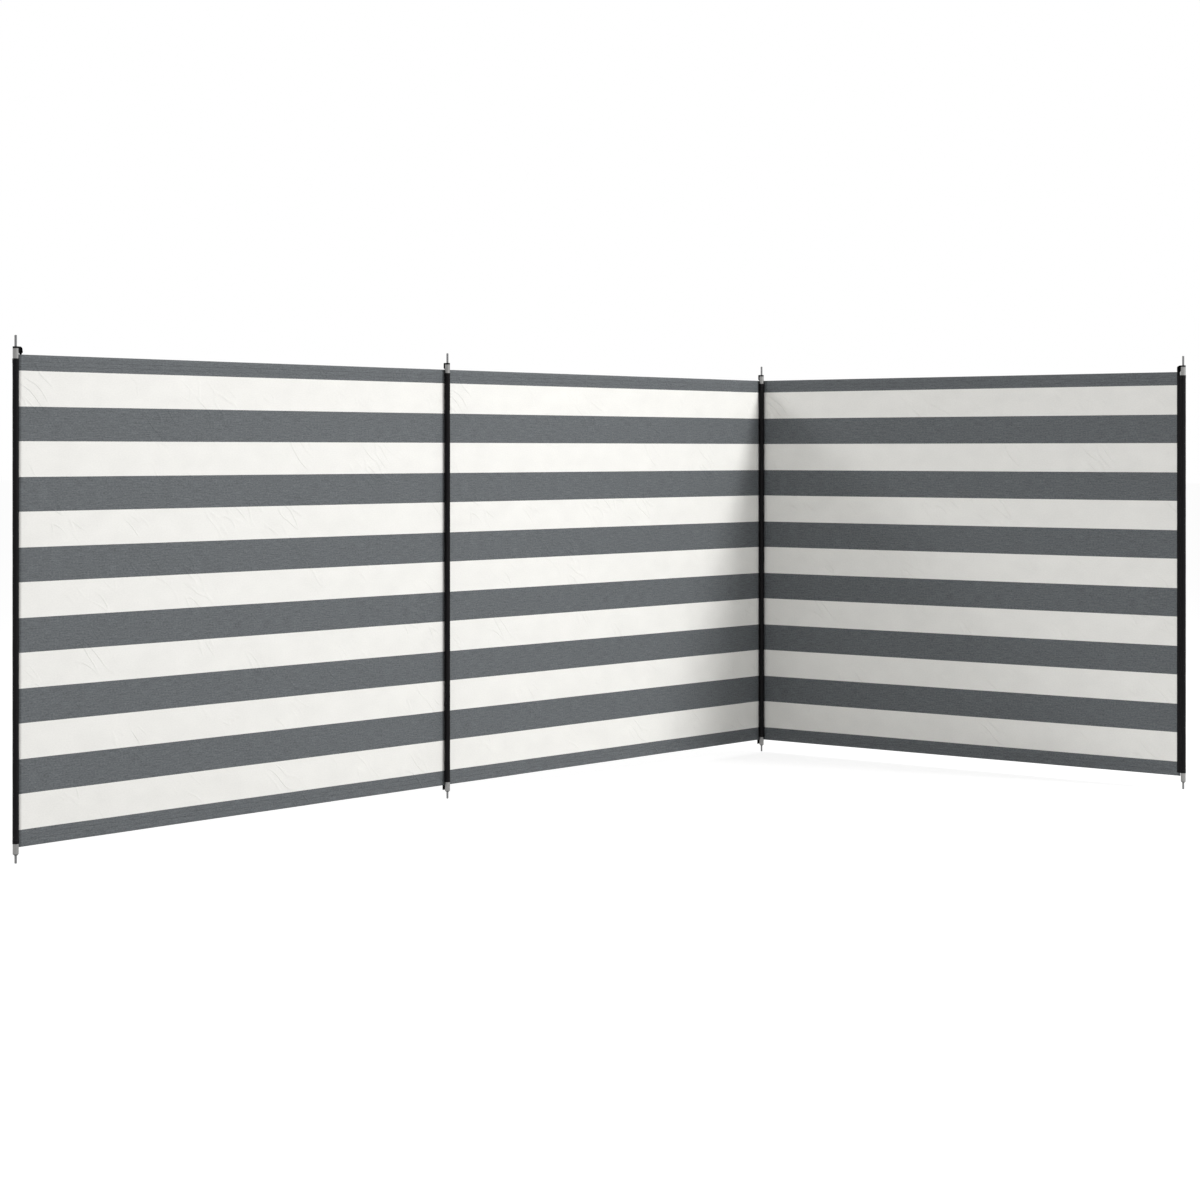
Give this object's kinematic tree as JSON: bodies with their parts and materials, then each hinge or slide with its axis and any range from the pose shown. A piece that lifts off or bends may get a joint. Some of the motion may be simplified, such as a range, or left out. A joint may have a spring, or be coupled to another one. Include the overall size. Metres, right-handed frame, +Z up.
{
  "type": "beach windbreak",
  "caption": "Folding beach windbreak: striped cloth bays on slim steel poles with black sleeves, webbing straps and spiked ends, the last bay turned at a right angle.",
  "frame": {"origin": "centre of the flat tip of the lower spike of the corner pole, the third from the far left", "axes": "+Z up along the poles; bays one and two run from the corner along -X, bay three along -Y; their backs face +Y and +X"},
  "size_m": [3.6209, 1.8245, 1.5],
  "materials": {
    "striped_cloth": "woven polyester in wide off-white and grey stripes",
    "sleeve_cloth": "smooth black nylon",
    "webbing": "black ribbed webbing",
    "tube_steel": "satin zinc-plated steel",
    "plug_plastic": "grey moulded plastic",
    "cap_plastic": "black moulded plastic",
    "spike_steel": "drawn steel rod"
  },
  "bodies": {
    "bay_2": {"pole_2_tube": "tube_steel", "pole_2_lower_plug": "plug_plastic", "pole_2_upper_plug": "cap_plastic", "pole_2_lower_spike": "spike_steel", "pole_2_upper_spike": "spike_steel", "pole_2_sleeve": "sleeve_cloth", "pole_2_strap": "webbing", "pole_2_tab": "webbing", "pole_3_tube": "tube_steel", "pole_3_lower_plug": "plug_plastic", "pole_3_upper_plug": "cap_plastic", "pole_3_lower_spike": "spike_steel", "pole_3_upper_spike": "spike_steel", "pole_3_sleeve": "sleeve_cloth", "pole_3_strap": "webbing", "pole_3_tab": "webbing", "bay_2_cloth": "striped_cloth"},
    "bay_1": {"pole_1_tube": "tube_steel", "pole_1_lower_plug": "plug_plastic", "pole_1_upper_plug": "cap_plastic", "pole_1_lower_spike": "spike_steel", "pole_1_upper_spike": "spike_steel", "pole_1_sleeve": "sleeve_cloth", "pole_1_strap": "webbing", "bay_1_cloth": "striped_cloth"},
    "bay_3": {"pole_4_tube": "tube_steel", "pole_4_lower_plug": "plug_plastic", "pole_4_upper_plug": "cap_plastic", "pole_4_lower_spike": "spike_steel", "pole_4_upper_spike": "spike_steel", "pole_4_sleeve": "sleeve_cloth", "pole_4_strap": "webbing", "bay_3_cloth": "striped_cloth"}
  },
  "joints": [
    {"name": "bay_1_fold", "type": "hinge", "parent": "bay_2", "child": "bay_1", "pos_m": [-1.8, 0, 0], "axis": [0, 0, 1], "range_deg": [0, 115]},
    {"name": "bay_3_fold", "type": "hinge", "parent": "bay_2", "child": "bay_3", "pos_m": [0, 0, 0], "axis": [0, 0, 1], "range_deg": [-25, 90]}
  ]
}
